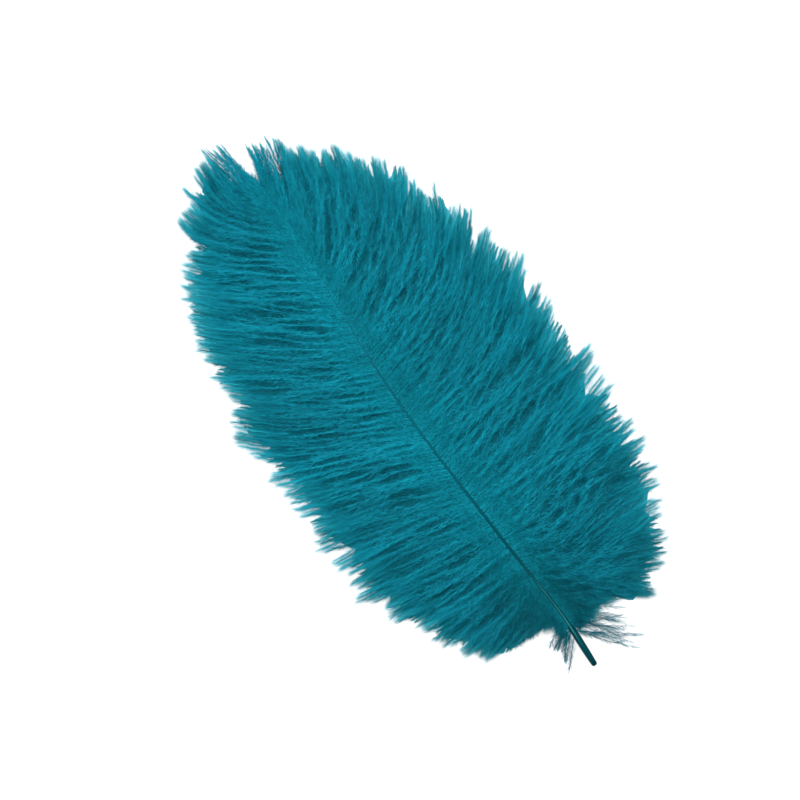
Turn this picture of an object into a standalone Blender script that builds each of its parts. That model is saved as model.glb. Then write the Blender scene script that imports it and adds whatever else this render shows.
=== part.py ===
"""Ostrich feather lying flat: a single grown shaft with a soft vane of barbs down each side.

The feather runs along +Y, from the quill end to the tip, and lies on the plane z = 0.
A station is a place along it: 0 at the quill end and 1 at the tips of the last barbs.
"""

import math

import bmesh
import bpy
from mathutils import Matrix, Vector

# Driving dimensions, in metres
FEATHER_LENGTH = 0.280
ARCH_HEIGHT = 0.012
NODE_GAP = 0.0003

# The shaft: a round quill that becomes a squarer, grooved rachis
QUILL_DIAMETER = 0.0031
QUILL_END_DIAMETER = 0.0025
RACHIS_TIP_DIAMETER = 0.0005
RACHIS_END_STATION = 0.945
QUILL_STATION = 0.055
QUILL_END_REACH = 0.010
RACHIS_TAPER = 0.80
RACHIS_FLATNESS = 0.90
GROOVE_DEPTH = 0.16
GROOVE_SPREAD = 0.42
GROOVE_START_STATION = 0.10
GROOVE_FULL_STATION = 0.20
QUILL_PORE_DIAMETER = 0.0008
QUILL_PORE_DEPTH = 0.0012

# The shaft's slow sideways curve, and the slight kick at the quill
SHAFT_BOW = 0.0058
BOW_STATION = 0.535
BOW_SPREAD = 0.29
QUILL_KICK = 0.0013
KICK_STATION = 0.10
KICK_SPREAD = 0.08

# The vanes: soft webs of barbs, thick at the shaft and thin at the rim
VANE_ROOT_THICKNESS = 0.0030
VANE_RIM_THICKNESS = 0.0014
FLAT_RIM_START = 0.85
TIP_SLIT = 0.0005
BASE_ROUNDNESS = 3.0
LEFT_VANE = {
    "name": "vane_left", "side": -1.0, "start": 0.076, "end": 1.020, "widest": 0.47, "width": 0.0652,
    "tip_roundness": 3.4, "tip_fullness": 0.58,
}
RIGHT_VANE = {
    "name": "vane_right", "side": 1.0, "start": 0.038, "end": 0.985, "widest": 0.53, "width": 0.0796,
    "tip_roundness": 1.8, "tip_fullness": 0.64,
}

# Mesh steps
SHAFT_RINGS = 64
SHAFT_SIDES = 20
VANE_STATIONS = 36
VANE_COLUMNS = 9
SMOOTH_ANGLE = math.radians(40.0)


def clear_scene():
    """Start from an empty scene."""
    for old in list(bpy.data.objects):
        bpy.data.objects.remove(old, do_unlink=True)


def principled(name, colour, roughness, metallic=0.0):
    """A plain Principled material."""
    material = bpy.data.materials.new(name)
    material.use_nodes = True
    shader = material.node_tree.nodes["Principled BSDF"]
    shader.inputs["Base Color"].default_value = (*colour, 1.0)
    shader.inputs["Roughness"].default_value = roughness
    shader.inputs["Metallic"].default_value = metallic
    return material


def smooth_step(value, start, end):
    """Ease from 0 at start to 1 at end."""
    part = min(1.0, max(0.0, (value - start) / (end - start)))
    return part * part * (3.0 - 2.0 * part)


def shaft_x(station):
    """Sideways place of the shaft's centre."""
    bow = math.exp(-(((station - BOW_STATION) / BOW_SPREAD) ** 2))
    kick = math.exp(-(((station - KICK_STATION) / KICK_SPREAD) ** 2))
    return QUILL_KICK * kick - SHAFT_BOW * bow


def arch_z(station):
    """Height of the shaft's underside: it rises gently between the quill end and the tip."""
    return ARCH_HEIGHT * math.sin(math.pi * min(1.0, max(0.0, station)))


def shaft_radius(station):
    """Half the shaft's width: full at the quill, rounded at its end, and fading to the tip."""
    if station < QUILL_STATION:
        reach = min(1.0, station * FEATHER_LENGTH / QUILL_END_REACH)
        swell = math.sin(0.5 * math.pi * reach)
        return 0.5 * (QUILL_END_DIAMETER + (QUILL_DIAMETER - QUILL_END_DIAMETER) * swell)
    along = min(1.0, (station - QUILL_STATION) / (RACHIS_END_STATION - QUILL_STATION))
    return 0.5 * (QUILL_DIAMETER + (RACHIS_TIP_DIAMETER - QUILL_DIAMETER) * along ** RACHIS_TAPER)


def shaft_point(station, turn):
    """A point of the shaft's skin, turn being its angle from +X."""
    radius = shaft_radius(station)
    rachis = smooth_step(station, GROOVE_START_STATION, GROOVE_FULL_STATION)
    below = math.remainder(turn + 0.5 * math.pi, math.tau)
    groove = GROOVE_DEPTH * rachis * math.exp(-((below / GROOVE_SPREAD) ** 2))
    flatness = 1.0 - (1.0 - RACHIS_FLATNESS) * rachis
    across = radius * math.cos(turn)
    up = radius * math.sin(turn) * flatness * (1.0 - groove)
    centre_z = arch_z(station) + radius * flatness
    return Vector((shaft_x(station) + across, station * FEATHER_LENGTH, centre_z + up))


def add_ring(mesh, station):
    """One closed ring of the shaft's skin."""
    turns = [math.tau * index / SHAFT_SIDES for index in range(SHAFT_SIDES)]
    corners = [mesh.verts.new(shaft_point(station, turn)) for turn in turns]
    edges = [mesh.edges.new((corners[index - 1], corners[index])) for index in range(SHAFT_SIDES)]
    return corners, edges


def round_quill_end(mesh, face):
    """Round the quill's cut end over and sink its small pore."""
    steps = 4
    flat_radius = 0.5 * QUILL_PORE_DIAMETER
    drop = 0.5 * (QUILL_END_DIAMETER - QUILL_PORE_DIAMETER)
    centre = face.calc_center_median()
    for step in range(1, steps + 1):
        turn = 0.5 * math.pi * step / steps
        last = 0.5 * math.pi * (step - 1) / steps
        radius = flat_radius + drop * math.cos(turn)
        last_radius = flat_radius + drop * math.cos(last)
        forward = drop * (math.sin(turn) - math.sin(last))
        face = push_face(mesh, face, centre, radius / last_radius, -forward)
        centre = face.calc_center_median()
    push_face(mesh, face, centre, 0.75, QUILL_PORE_DEPTH)


def push_face(mesh, face, centre, scale, move_y):
    """Extrude an end face, scale it about its centre and move it along the feather."""
    moved = bmesh.ops.extrude_discrete_faces(mesh, faces=[face])["faces"][0]
    space = Matrix.Translation(-centre)
    bmesh.ops.scale(mesh, vec=(scale, 1.0, scale), space=space, verts=moved.verts)
    bmesh.ops.translate(mesh, vec=(0.0, move_y, 0.0), verts=moved.verts)
    return moved


def build_shaft(material):
    """The quill and the rachis, which grew as one piece."""
    mesh = bmesh.new()
    first_station = 0.5 * (QUILL_END_DIAMETER - QUILL_PORE_DIAMETER) / FEATHER_LENGTH
    reach = RACHIS_END_STATION - first_station
    rings = []
    for index in range(SHAFT_RINGS):
        part = index / (SHAFT_RINGS - 1)
        rings.append(add_ring(mesh, first_station + reach * part ** 1.25))
    for lower, upper in zip(rings[:-1], rings[1:]):
        bmesh.ops.bridge_loops(mesh, edges=lower[1] + upper[1])
    quill_face = mesh.faces.new(rings[0][0])
    mesh.faces.new(reversed(rings[-1][0]))
    bmesh.ops.recalc_face_normals(mesh, faces=mesh.faces)
    round_quill_end(mesh, quill_face)
    bmesh.ops.recalc_face_normals(mesh, faces=mesh.faces)
    return finish(mesh, "shaft", material)


def vane_reach(vane, station):
    """Width of a vane from the shaft's centre: blunt at its base, fuller than pointed at its tip."""
    along = (station - vane["start"]) / (vane["end"] - vane["start"])
    along = min(1.0, max(0.0, along))
    if along < vane["widest"]:
        part = 1.0 - along / vane["widest"]
        return vane["width"] * (1.0 - part ** BASE_ROUNDNESS) ** (1.0 / BASE_ROUNDNESS)
    part = (along - vane["widest"]) / (1.0 - vane["widest"])
    return vane["width"] * (1.0 - part ** vane["tip_roundness"]) ** vane["tip_fullness"]


def vane_root(station):
    """How far from the shaft's centre line a vane starts."""
    if station > RACHIS_END_STATION + 0.01:
        return 0.5 * TIP_SLIT
    return shaft_radius(station) + NODE_GAP


def vane_point(vane, station, part):
    """A point of a vane's underside, part being 0 at the shaft and 1 at the rim."""
    root = vane_root(station)
    reach = max(root + 0.002, vane_reach(vane, station))
    across = root + (reach - root) * part
    fall = min(1.0, part / FLAT_RIM_START)
    height = arch_z(station) * 0.5 * (1.0 + math.cos(math.pi * fall))
    if part >= FLAT_RIM_START:
        height = 0.0
    return Vector((shaft_x(station) + vane["side"] * across, station * FEATHER_LENGTH, height))


def vane_parts():
    """Steps across a vane, with one of them where its flat rim starts."""
    inner = [FLAT_RIM_START * index / (VANE_COLUMNS - 2) for index in range(VANE_COLUMNS - 1)]
    return inner + [1.0]


def vane_stations(vane):
    """Steps along a vane, closer together at its two rounded ends."""
    stations = []
    for index in range(VANE_STATIONS):
        turn = math.pi * (index + 0.12) / (VANE_STATIONS - 0.76)
        along = 0.5 * (1.0 - math.cos(turn))
        stations.append(vane["start"] + (vane["end"] - vane["start"]) * along)
    return stations


def build_vane(vane, material):
    """One vane: a closed soft sheet that arches from the shaft down to its flat rim."""
    mesh = bmesh.new()
    parts = vane_parts()
    rows = []
    thickness = {}
    for station in vane_stations(vane):
        row = []
        for part in parts:
            corner = mesh.verts.new(vane_point(vane, station, part))
            thickness[corner] = VANE_ROOT_THICKNESS + (VANE_RIM_THICKNESS - VANE_ROOT_THICKNESS) * part
            row.append(corner)
        rows.append(row)
    for near, far in zip(rows[:-1], rows[1:]):
        for index in range(len(parts) - 1):
            mesh.faces.new((near[index], near[index + 1], far[index + 1], far[index]))
    raised = bmesh.ops.extrude_face_region(mesh, geom=list(mesh.faces), use_keep_orig=True)
    top = [item for item in raised["geom"] if isinstance(item, bmesh.types.BMVert)]
    underside = {tuple(corner.co): depth for corner, depth in thickness.items()}
    for corner in top:
        corner.co.z += underside[tuple(corner.co)]
    bmesh.ops.recalc_face_normals(mesh, faces=mesh.faces)
    return finish(mesh, vane["name"], material)


def finish(mesh, name, material):
    """Make a smooth-shaded object from a finished mesh."""
    data = bpy.data.meshes.new(name)
    mesh.to_mesh(data)
    mesh.free()
    data.shade_smooth()
    data.set_sharp_from_angle(angle=SMOOTH_ANGLE)
    data.materials.append(material)
    part = bpy.data.objects.new(name, data)
    bpy.context.scene.collection.objects.link(part)
    return part


def centre_on_plane(parts):
    """Move every part so that the feather's box is centred on the origin, on the plane z = 0."""
    corners = [corner.co for part in parts for corner in part.data.vertices]
    low = [min(corner[axis] for corner in corners) for axis in range(3)]
    high = [max(corner[axis] for corner in corners) for axis in range(3)]
    shift = Vector((-0.5 * (low[0] + high[0]), -0.5 * (low[1] + high[1]), -low[2]))
    for part in parts:
        part.location = shift


def main():
    clear_scene()
    keratin = principled("dyed keratin", (0.004, 0.062, 0.072), 0.38)
    barbs = principled("dyed barbs", (0.0055, 0.160, 0.226), 0.72)
    shaft = build_shaft(keratin)
    left = build_vane(LEFT_VANE, barbs)
    right = build_vane(RIGHT_VANE, barbs)
    centre_on_plane([shaft, left, right])


main()
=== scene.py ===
import math

import bmesh
import bpy
import numpy as np
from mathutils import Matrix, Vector


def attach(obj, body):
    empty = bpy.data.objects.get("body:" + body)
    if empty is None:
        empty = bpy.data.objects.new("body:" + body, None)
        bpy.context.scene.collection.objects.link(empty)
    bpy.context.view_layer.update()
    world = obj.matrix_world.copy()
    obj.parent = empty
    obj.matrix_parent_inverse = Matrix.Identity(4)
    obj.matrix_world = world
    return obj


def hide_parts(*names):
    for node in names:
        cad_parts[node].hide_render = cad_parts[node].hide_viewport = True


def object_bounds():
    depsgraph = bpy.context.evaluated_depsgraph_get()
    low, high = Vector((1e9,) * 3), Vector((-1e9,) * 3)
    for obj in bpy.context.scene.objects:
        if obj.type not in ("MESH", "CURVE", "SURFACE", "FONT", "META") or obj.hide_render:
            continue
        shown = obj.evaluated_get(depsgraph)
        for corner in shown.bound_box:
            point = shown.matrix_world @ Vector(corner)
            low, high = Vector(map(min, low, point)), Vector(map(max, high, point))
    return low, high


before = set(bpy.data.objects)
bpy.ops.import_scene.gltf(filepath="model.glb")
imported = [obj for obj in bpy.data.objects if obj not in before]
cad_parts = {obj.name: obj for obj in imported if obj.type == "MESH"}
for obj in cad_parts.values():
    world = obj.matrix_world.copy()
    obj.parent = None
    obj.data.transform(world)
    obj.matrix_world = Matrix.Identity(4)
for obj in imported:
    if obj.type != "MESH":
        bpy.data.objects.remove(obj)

# An ostrich feather lying flat. Stations run along it: 0 at the quill end, 1 at the tip.
# "out" runs along a barb: 0 where it leaves the shaft, 1 at its own tip.

cad_low, cad_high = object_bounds()

# ---------------------------------------------------------------- the feather's plan, in metres
MM = 0.001
LEFT_END_STATION = 1.020
FEATHER_LENGTH = (cad_high.y - cad_low.y) / LEFT_END_STATION
QUILL_Y = cad_low.y
ARCH_HEIGHT = 12.0 * MM
QUILL_DIAMETER = 3.1 * MM
RACHIS_TIP_DIAMETER = 0.5 * MM
QUILL_STATION = 0.055
RACHIS_END_STATION = 0.945
RACHIS_TAPER = 0.80
SHAFT_BOW = 5.8 * MM
BOW_STATION = 0.535
BOW_SPREAD = 0.29
QUILL_KICK = 1.3 * MM
KICK_STATION = 0.10
KICK_SPREAD = 0.08
FLAT_RIM_START = 0.85
BASE_ROUNDNESS = 3.0
FLOOR_CLEARANCE = 0.15 * MM
SEED = 20

# ---------------------------------------------------------------- the two vanes
# "near", "middle" and "far" are the barbs' lean in degrees at each of LEAN_STATIONS: beside the shaft, half
# way out and at the rim. "lobes" are the rim's lobes and notches: station, spread and extra reach.
# "lower_edge" is the edge towards the quill: millimetres from the shaft, and station. "splits" are short
# splits in the rim: station, spread and depth. "across" and "along" are how wide and how long the locks are.
LEAN_STATIONS = (0.04, 0.12, 0.20, 0.28, 0.36, 0.44, 0.52, 0.60, 0.68, 0.76, 0.84, 0.91, 0.97)
MIDDLE_ZONE = (6.0 * MM, 34.0 * MM)
FAR_ZONE = (30.0 * MM, 62.0 * MM)
LEAST_REACH = 4.0 * MM
VANES = (
    {
        "name": "left", "node": "vane_left", "side": -1.0, "spikes_from": 0.880,
        "start": 0.076, "end": LEFT_END_STATION, "widest": 0.47, "width": 64.8 * MM,
        "tip_roundness": 3.4, "tip_fullness": 0.58,
        "near": (125, 112, 98, 86, 70, 65, 66, 66, 61, 55, 51, 38, 4),
        "middle": (125, 106, 92, 84, 82, 74, 69, 58, 51, 51, 55, 38, 4),
        "far": (125, 98, 84, 79, 84, 78, 64, 50, 47, 47, 42, 26, 0),
        "lobes": (
            (0.145, 0.025, -4.0 * MM), (0.20, 0.020, -6.5 * MM), (0.30, 0.020, 3.0 * MM),
            (0.46, 0.020, -2.5 * MM), (0.53, 0.025, -1.0 * MM), (0.61, 0.026, 5.0 * MM),
            (0.645, 0.014, 2.0 * MM), (0.69, 0.020, -3.5 * MM), (0.745, 0.014, 3.5 * MM),
            (0.865, 0.016, -3.0 * MM), (0.918, 0.010, -7.0 * MM), (0.950, 0.012, 5.0 * MM),
            (0.969, 0.007, -5.0 * MM), (1.005, 0.014, 12.0 * MM),
        ),
        "lower_edge": ((0.0, 0.092), (6.0, 0.098), (32.0, 0.101), (42.0, 0.106), (60.0, 0.112)),
        "splits": ((0.870, 0.004, 0.12),),
        "gather": 0.12, "ridge": 1.3 * MM, "tone": -0.05,
        "across": (2.6 * MM, 4.8 * MM), "along": (26.0 * MM, 80.0 * MM),
        "wisps": {
            "count": 11, "stations": (0.048, 0.086), "lean": (98.0, 142.0), "curl": (-10.0, 40.0),
            "length": (7.0 * MM, 17.0 * MM),
        },
    },
    {
        "name": "right", "node": "vane_right", "side": 1.0, "spikes_from": 0.835,
        "start": 0.038, "end": 0.990, "widest": 0.53, "width": 81.0 * MM,
        "tip_roundness": 1.8, "tip_fullness": 0.64,
        "near": (140, 134, 114, 84, 76, 76, 78, 76, 68, 54, 40, 22, 10),
        "middle": (135, 106, 76, 78, 74, 74, 69, 66, 57, 37, 27, 12, 4),
        "far": (134, 106, 97, 90, 75, 70, 55, 52, 48, 33, 28, 10, 4),
        "lobes": (
            (0.043, 0.014, 10.0 * MM), (0.100, 0.018, 2.5 * MM), (0.165, 0.018, -1.0 * MM),
            (0.23, 0.020, -1.0 * MM), (0.37, 0.030, -1.5 * MM), (0.735, 0.018, 3.0 * MM),
            (0.790, 0.014, -3.0 * MM), (0.835, 0.022, 3.5 * MM), (0.93, 0.012, -5.5 * MM),
            (0.953, 0.010, -7.0 * MM), (0.985, 0.008, 9.0 * MM),
        ),
        "lower_edge": (
            (0.0, 0.072), (9.0, 0.072), (16.0, 0.079), (23.0, 0.075), (36.0, 0.036), (60.0, 0.010),
        ),
        "splits": ((0.546, 0.0045, 0.22), (0.642, 0.0045, 0.26)),
        "gather": 0.15, "ridge": 0.9 * MM, "tone": -0.08,
        "across": (2.8 * MM, 5.2 * MM), "along": (12.0 * MM, 34.0 * MM),
        "wisps": {
            "count": 26, "stations": (0.060, 0.116), "lean": (112.0, 154.0), "curl": (-18.0, 18.0),
            "length": (13.0 * MM, 32.0 * MM),
        },
    },
)

# ---------------------------------------------------------------- the two layers of barbs
# A plain layer lies below the locks and tufts that show on top; its darker tone is painted shade beneath them.
# "reach" is the part of the way to the outline that the barbs go, "lift" and "swell" are their height over the
# vane's underside, and "wander" is how freely they stray. Only the upper layer's roots close over the shaft.
UNDER_LAYER = {
    "count": 200, "gather": 0.1, "strays": 0.0, "reach": 0.955, "lift": 0.6 * MM, "swell": 0.9 * MM,
    # Its low tone is painted shade under the top layer.
    "parting": 0.10, "crevice": 0.4 * MM, "ridge": 0.3, "wander": 0.5, "tone": 0.24, "spikes": 0.12,
    "over_shaft": 0.0,
}
TOP_LAYER = {
    "count": 400, "gather": 1.0, "strays": 1.0, "reach": 0.972, "lift": 1.6 * MM, "swell": 1.7 * MM,
    "parting": 0.36, "crevice": 2.2 * MM, "ridge": 1.0, "wander": 1.0, "tone": 0.52, "spikes": 0.0,
    "over_shaft": 1.0,
}
BARB_POINTS = 31
OUT = np.linspace(0.0, 1.0, BARB_POINTS)
LAST_SPOT = BARB_POINTS - 1.001
BARB_STEP = 0.7 * MM
BARB_STEPS = 180
ROOTED_STEPS = 8
FULLY_STRAYED = 40.0 * MM
FIRST_BARB = 0.078
LAST_BARB = 0.930
END_CROWDING = 0.50
LOOSER_AT_BASE = 1.6
LOOSER_AT_TIP = 3.0
DARKER_AT_BASE = 0.18
LIGHTER_AT_TIP = 0.03
UNEVEN_ROOTS = 0.35
TUFT_SIZES = (3, 9)
LOCK_SIZES = (2, 4)
SPIKES_RISE = 0.025
SPIKES_CUT = 0.42
STRAY_SHARE = 0.05
SPIKY_STRAY_SHARE = 0.45
TIP_GATHER = 0.35
LOCK_GATHER = 0.18
CRINKLE = 0.22 * MM
FULL_SWELL_LENGTH = 55.0 * MM
BASE_SHADE = 0.26


def ease(value, start, end):
    """Smooth step from 0 at start to 1 at end."""
    part = np.clip((value - start) / (end - start), 0.0, 1.0)
    return part * part * (3.0 - 2.0 * part)


def hump(value, middle, spread):
    """1 at the middle, falling away smoothly to 0 on both sides."""
    return np.exp(-(((value - middle) / spread) ** 2))


def unit(vectors):
    return vectors / np.maximum(np.linalg.norm(vectors, axis=-1, keepdims=True), 1e-9)


def curve_offset(station):
    """The shaft's sideways curve, before it is put in its place."""
    bow = hump(station, BOW_STATION, BOW_SPREAD)
    kick = hump(station, KICK_STATION, KICK_SPREAD)
    return QUILL_KICK * kick - SHAFT_BOW * bow


def quill_end_x():
    """Where the quill's end sits sideways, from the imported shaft."""
    corners = [corner.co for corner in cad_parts["shaft"].data.vertices]
    lowest = min(corner.y for corner in corners)
    ends = [corner.x for corner in corners if corner.y < lowest + 0.2 * MM]
    return sum(ends) / len(ends)


SIDEWAYS = quill_end_x() - float(curve_offset(0.0))


def shaft_x(station):
    return SIDEWAYS + curve_offset(station)


def shaft_half_width(station):
    """Half the rachis, from the quill's full width to its fading tip."""
    along = np.clip((station - QUILL_STATION) / (RACHIS_END_STATION - QUILL_STATION), 0.0, 1.0)
    return 0.5 * (QUILL_DIAMETER + (RACHIS_TIP_DIAMETER - QUILL_DIAMETER) * along ** RACHIS_TAPER)


def arch_z(station):
    """Height of the shaft's underside over the floor."""
    return ARCH_HEIGHT * np.sin(math.pi * np.clip(station, 0.0, 1.0))


def vane_reach(vane, station):
    """Width of a vane from the shaft's centre line."""
    along = np.clip((station - vane["start"]) / (vane["end"] - vane["start"]), 0.0, 1.0)
    before = np.clip(1.0 - along / vane["widest"], 0.0, 1.0)
    after = np.clip((along - vane["widest"]) / (1.0 - vane["widest"]), 0.0, 1.0)
    base = (1.0 - before ** BASE_ROUNDNESS) ** (1.0 / BASE_ROUNDNESS)
    tip = (1.0 - after ** vane["tip_roundness"]) ** vane["tip_fullness"]
    return vane["width"] * np.where(along < vane["widest"], base, tip)


def lobed_reach(vane, station):
    """The vane's width with the lobes and notches of its rim."""
    reach = vane_reach(vane, station)
    for place, spread, extra in vane["lobes"]:
        reach = reach + extra * hump(station, place, spread)
    return reach


def lower_edge(vane, aside):
    """Station of the vane's lower edge, towards the quill, at a distance from the shaft."""
    places, stations = zip(*vane["lower_edge"])
    return np.interp(aside / MM, places, stations)


def underside_z(vane, x, y):
    """Height of a vane's underside: the arch at the shaft, falling to the floor at the rim."""
    station = (y - QUILL_Y) / FEATHER_LENGTH
    reach = np.maximum(vane_reach(vane, station), LEAST_REACH)
    part = np.clip(np.abs(x - shaft_x(station)) / reach, 0.0, 1.0)
    fall = np.minimum(1.0, part / FLAT_RIM_START)
    return arch_z(station) * 0.5 * (1.0 + np.cos(math.pi * fall))


# ---------------------------------------------------------------- locks: where barbs cling together and part
WAVE_COUNT = 16
WAVE_SCALE = math.sqrt(2.0 / WAVE_COUNT)
BROAD_LOCKS = {"across": (9.0 * MM, 18.0 * MM), "along": (30.0 * MM, 75.0 * MM)}
HAIR_LOCKS = {"across": (1.3 * MM, 2.3 * MM), "along": (7.0 * MM, 20.0 * MM)}
RELIEF_START = 3.0 * MM
RELIEF_FULL = 16.0 * MM
CREVICE_START = 1.0
CREVICE_FULL = 2.2
BROAD_RIDGE = 0.25 * MM


def make_waves(rng, lengths):
    """Random waves over a vane, from their lengths across the barbs and along them."""
    slant = rng.choice((-1.0, 1.0), WAVE_COUNT)
    return {
        "across": math.tau / rng.uniform(*lengths["across"], WAVE_COUNT),
        "along": slant * math.tau / rng.uniform(*lengths["along"], WAVE_COUNT),
        "start": rng.uniform(0.0, math.tau, WAVE_COUNT),
    }


def wave_angle(waves, place, distance):
    return waves["across"] * place[..., None] + waves["along"] * distance[..., None] + waves["start"]


def wave_push(waves, place, distance):
    """Push along the feather, in metres: barbs part where it grows with place, and bunch where it falls."""
    return (np.sin(wave_angle(waves, place, distance)) / waves["across"]).sum(axis=-1) * WAVE_SCALE


def wave_slope(waves, place, distance):
    """How the push grows along the feather: above 0 where barbs part, below 0 where they bunch."""
    return np.cos(wave_angle(waves, place, distance)).sum(axis=-1) * WAVE_SCALE


def lock_heights(waves, vane, layer):
    """The waves with the heights that one layer takes from them."""
    return dict(waves, crevice=layer["crevice"], ridge=layer["ridge"] * vane["ridge"])


def relief(locks, place, distance):
    """Height of the vane's face: soft ridges with short narrow crevices between them."""
    fine = wave_slope(locks["fine"], place, distance)
    broad = wave_slope(locks["broad"], place, distance)
    hair = wave_slope(locks["hair"], place, distance)
    crevice = locks["crevice"] * ease(fine + 0.3 * broad, CREVICE_START, CREVICE_FULL)
    ridge = locks["ridge"] * (0.32 * np.clip(-fine, -1.5, 2.0) - 0.10 * hair)
    ridge = ridge - BROAD_RIDGE * np.clip(broad, -2.0, 2.0)
    return ease(distance, RELIEF_START, RELIEF_FULL) * (ridge - crevice)


# ---------------------------------------------------------------- barbs
def lean_at(vane, point):
    """The barbs' lean from the shaft, in degrees, at places on a vane."""
    station = (point[:, 1] - QUILL_Y) / FEATHER_LENGTH
    aside = np.abs(point[:, 0] - shaft_x(station))
    near, middle, far = (np.interp(station, LEAN_STATIONS, vane[zone]) for zone in ("near", "middle", "far"))
    return near + (middle - near) * ease(aside, *MIDDLE_ZONE) + (far - middle) * ease(aside, *FAR_ZONE)


def root_place(bases):
    """Where roots stand from the shaft's middle, in half widths of it: they close over its thin end."""
    return 0.52 - 0.50 * ease(bases, 0.58, 0.80)


def walk_barbs(vane, bases, lean):
    """Plan-view route of each barb, a step at a time. Lean gives its angle in degrees at a step and place."""
    side = vane["side"]
    root = shaft_x(bases) + side * root_place(bases) * shaft_half_width(bases)
    point = np.stack([root, QUILL_Y + bases * FEATHER_LENGTH], axis=1)
    route = [point]
    for step in range(BARB_STEPS):
        turn = np.radians(lean(step, point))
        point = point + BARB_STEP * np.stack([side * np.sin(turn), np.cos(turn)], axis=1)
        route.append(point)
    return np.stack(route, axis=1)


def barb_routes(vane, bases, stray_lean):
    """Routes of a vane's barbs, and how many steps take each of them to the vane's outline."""
    def lean(step, point):
        return lean_at(vane, point) + stray_lean * (0.4 + 0.6 * ease(step * BARB_STEP, 0.0, FULLY_STRAYED))

    route = walk_barbs(vane, bases, lean)
    station = (route[..., 1] - QUILL_Y) / FEATHER_LENGTH
    aside = vane["side"] * (route[..., 0] - shaft_x(station))
    outside = (aside > lobed_reach(vane, station)) | (station < lower_edge(vane, aside))
    outside[:, :ROOTED_STEPS] = False
    steps = np.where(outside.any(axis=1), outside.argmax(axis=1), BARB_STEPS)
    return route, steps.astype(float)


def along_route(route, steps):
    """Points at equal parts of each barb's own length."""
    place = np.clip(steps[:, None] * OUT, 0.0, route.shape[1] - 1.001)
    low = place.astype(int)
    rest = (place - low)[..., None]
    rows = np.arange(len(route))[:, None]
    return route[rows, low] * (1.0 - rest) + route[rows, low + 1] * rest


def clump_numbers(count, smallest, largest, rng):
    """Number of the clump that each barb in a row belongs to."""
    sizes = []
    while sum(sizes) < count:
        sizes.append(int(rng.integers(smallest, largest + 1)))
    return np.repeat(np.arange(len(sizes)), sizes)[:count]


def clump_barbs(count, rng):
    """The tuft and the lock of tufts that each barb in a row belongs to, and its own number."""
    tuft = clump_numbers(count, *TUFT_SIZES, rng)
    lock = clump_numbers(tuft.max() + 1, *LOCK_SIZES, rng)[tuft]
    return {"tuft": tuft, "lock": lock, "own": np.arange(count)}


def spread_in_clump(clump):
    """Place of each barb across its clump, from -1 to 1."""
    spread = np.zeros(len(clump))
    for number in np.unique(clump):
        members = np.flatnonzero(clump == number)
        spread[members] = np.linspace(-1.0, 1.0, len(members)) if len(members) > 1 else 0.0
    return spread


def clump_mean(values, clump):
    """Each barb's clump average."""
    total = np.zeros((clump.max() + 1,) + values.shape[1:])
    np.add.at(total, clump, values)
    counts = np.bincount(clump).reshape((-1,) + (1,) * (values.ndim - 1))
    return (total / counts)[clump]


def vary(clumps, spreads, rng):
    """A random number for each barb: what its tuft, its lock and it alone are given, added up."""
    total = np.zeros(len(clumps["own"]))
    for kind, spread in spreads.items():
        clump = clumps[kind]
        total = total + rng.normal(0.0, spread, clump.max() + 1)[clump]
    return total


def wiggle(count, turns, rng):
    """A small wave along each barb, with its own size, start and number of turns."""
    size = rng.normal(0.0, CRINKLE, count)[:, None]
    start = rng.uniform(0.0, math.tau, count)[:, None]
    return size * np.sin(start + rng.uniform(*turns, (count, 1)) * math.tau * OUT)


def near_tip(bases):
    """0 for most barbs, rising to 1 for those that form the feather's end."""
    return ease(bases, 0.80, 0.91)


def among_spikes(vane, bases):
    """0 for most barbs, rising to 1 by the tip, where short barbs stand between a few long loose ones."""
    return ease(bases, vane["spikes_from"], vane["spikes_from"] + SPIKES_RISE)


def split_depth(vane, bases):
    """Part of their length that the barbs beside a split in the rim fall short by."""
    return sum(depth * hump(bases, middle, spread) for middle, spread, depth in vane["splits"])


def barb_bases(count, rng):
    """Stations of a row of roots: a little uneven, and closer together towards both ends of the vane."""
    part = (np.arange(count) + rng.uniform(-UNEVEN_ROOTS, UNEVEN_ROOTS, count)) / (count - 1)
    part = np.clip(part, 0.0, 1.0)
    part = part - END_CROWDING * np.sin(math.tau * part) / math.tau
    return FIRST_BARB + (LAST_BARB - FIRST_BARB) * part


def barb_stretch(vane, layer, bases, clumps, rng):
    """Part of the way to the outline that each barb goes: ragged, with a few strays that pass the others."""
    spiky = among_spikes(vane, bases)
    ragged = vary(clumps, {"lock": 0.014, "tuft": 0.022, "own": 0.024}, rng) * (1.0 + 1.2 * spiky)
    ragged = ragged * (0.3 + 0.7 * layer["wander"]) - 0.012 * spread_in_clump(clumps["tuft"]) ** 2
    stretch = layer["reach"] - layer["spikes"] * near_tip(bases) + ragged - split_depth(vane, bases)
    share = layer["strays"] * (STRAY_SHARE + SPIKY_STRAY_SHARE * spiky)
    stray = rng.uniform(0.0, 1.0, len(bases)) < share
    longer = rng.uniform(0.02, 0.07, len(bases)) * (1.0 + 0.5 * spiky)
    short = np.clip(stretch - SPIKES_CUT * spiky, 0.45, 1.04)
    return short + np.where(stray, longer + SPIKES_CUT * spiky, 0.0)


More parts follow.
